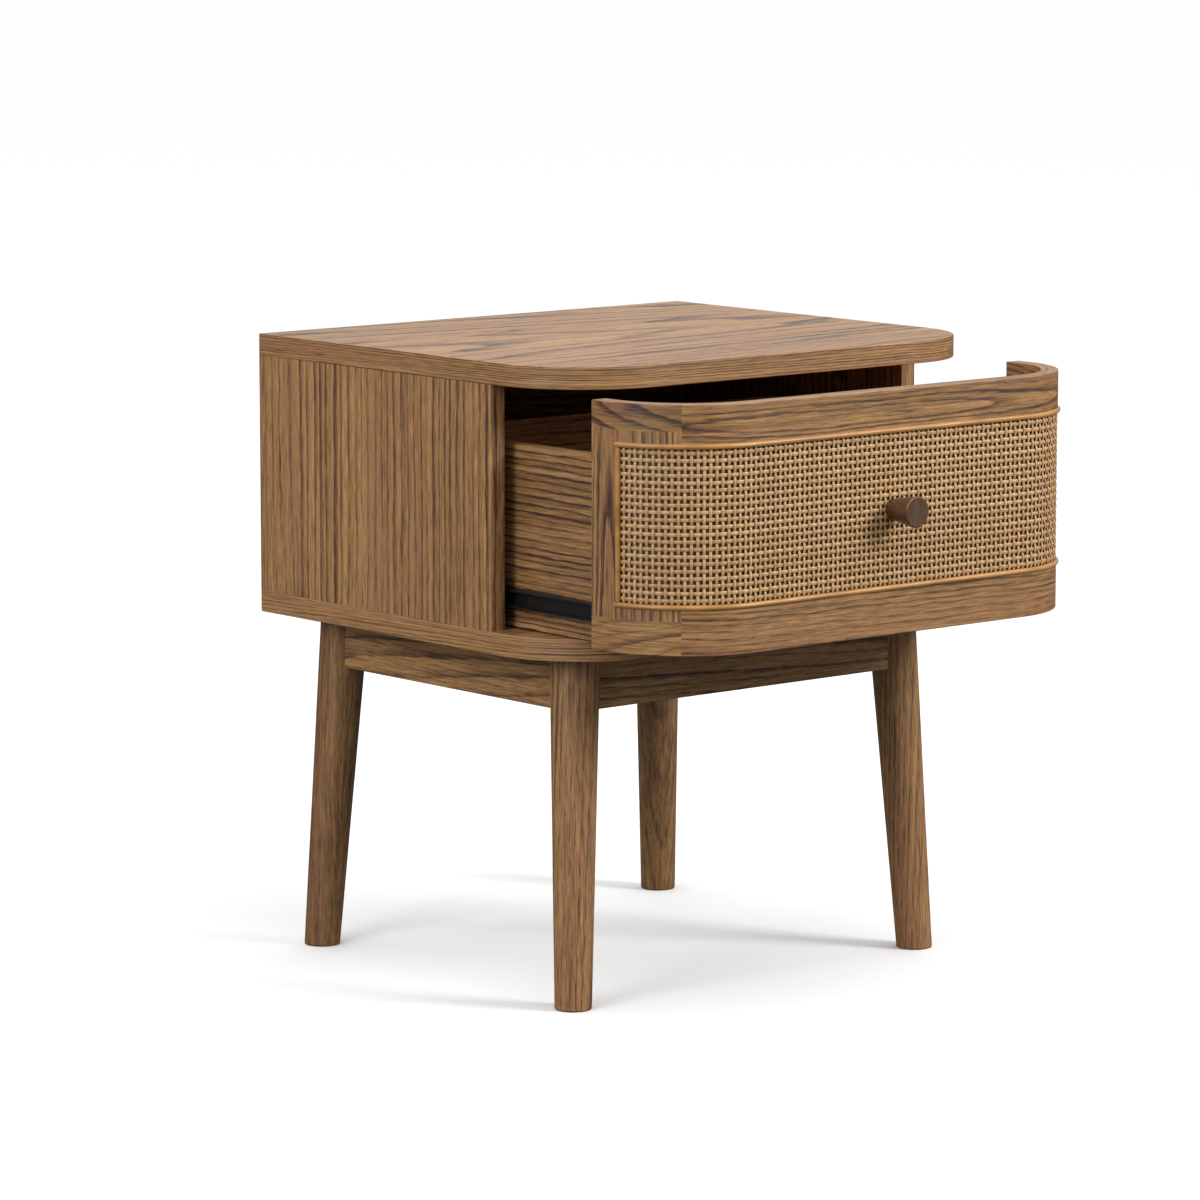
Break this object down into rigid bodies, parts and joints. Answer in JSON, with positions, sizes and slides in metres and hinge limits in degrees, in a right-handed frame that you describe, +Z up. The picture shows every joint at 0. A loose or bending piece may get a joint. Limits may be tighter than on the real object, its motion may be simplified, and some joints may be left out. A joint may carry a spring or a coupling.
{
  "type": "bedside table",
  "caption": "Wooden bedside table on splayed tapered legs, with a sliding drawer whose cane-covered front wraps round both corners.",
  "frame": {"origin": "on the floor, at the centre of the bounding box of the whole table with its drawer open as at rest", "axes": "+Z up, +Y to the back of the cabinet, +X to the right as seen from the front; the drawer opens towards -Y"},
  "size_m": [0.4612, 0.5544, 0.519],
  "materials": {
    "oak_veneer": "satin",
    "solid_oak": "satin",
    "plywood": "matte",
    "beech_dowel": "matte",
    "rattan": "satin",
    "cane": "satin",
    "bronze": "brushed",
    "black_steel": "satin",
    "zinc_steel": "satin"
  },
  "bodies": {
    "cabinet": {"top_panel": "oak_veneer", "bottom_panel": "oak_veneer", "left_side_panel": "oak_veneer", "right_side_panel": "oak_veneer", "back_panel": "plywood", "front_left_leg": "solid_oak", "front_right_leg": "solid_oak", "back_left_leg": "solid_oak", "back_right_leg": "solid_oak", "front_apron": "solid_oak", "back_apron": "solid_oak", "left_apron": "solid_oak", "right_apron": "solid_oak", "front_left_corner_block": "plywood", "front_right_corner_block": "plywood", "back_left_corner_block": "plywood", "back_right_corner_block": "plywood", "panel_dowels": "beech_dowel", "frame_dowels": "beech_dowel", "cam_bolts": "zinc_steel", "cam_discs": "zinc_steel", "channel_screws": "zinc_steel", "hanger_bolts": "zinc_steel", "hanger_nuts": "zinc_steel", "frame_screws": "zinc_steel", "left_slide_channel": "black_steel", "right_slide_channel": "black_steel"},
    "drawer": {"drawer_front_board": "oak_veneer", "left_corner_panel": "oak_veneer", "right_corner_panel": "oak_veneer", "left_corner_top_rail": "oak_veneer", "right_corner_top_rail": "oak_veneer", "left_corner_bottom_rail": "oak_veneer", "right_corner_bottom_rail": "oak_veneer", "left_drawer_side": "oak_veneer", "right_drawer_side": "oak_veneer", "drawer_box_front": "oak_veneer", "drawer_back": "oak_veneer", "drawer_bottom": "plywood", "left_corner_post": "plywood", "right_corner_post": "plywood", "box_dowels": "beech_dowel", "top_bead": "rattan", "bottom_bead": "rattan", "left_bead": "rattan", "right_bead": "rattan", "cane_webbing": "cane", "knob": "bronze", "left_slide_runner": "black_steel", "right_slide_runner": "black_steel", "front_screws": "zinc_steel", "knob_screw": "zinc_steel", "runner_screws": "zinc_steel"},
    "left_slide_cage": {"left_ball_cage": "zinc_steel", "left_slide_balls": "zinc_steel"},
    "right_slide_cage": {"right_ball_cage": "zinc_steel", "right_slide_balls": "zinc_steel"}
  },
  "joints": [
    {"name": "drawer_slide", "type": "slide", "parent": "cabinet", "child": "drawer", "axis": [0, -1, 0], "range_m": [-0.1233, 0.0667]},
    {"name": "left_cage_slide", "type": "slide", "parent": "cabinet", "child": "left_slide_cage", "axis": [0, -1, 0], "range_m": [-0.06165, 0.03335]},
    {"name": "right_cage_slide", "type": "slide", "parent": "cabinet", "child": "right_slide_cage", "axis": [0, -1, 0], "range_m": [-0.06165, 0.03335]}
  ],
  "couplings": [
    {"joint": "left_cage_slide", "follows": "drawer_slide", "ratio": 0.5},
    {"joint": "right_cage_slide", "follows": "drawer_slide", "ratio": 0.5}
  ]
}
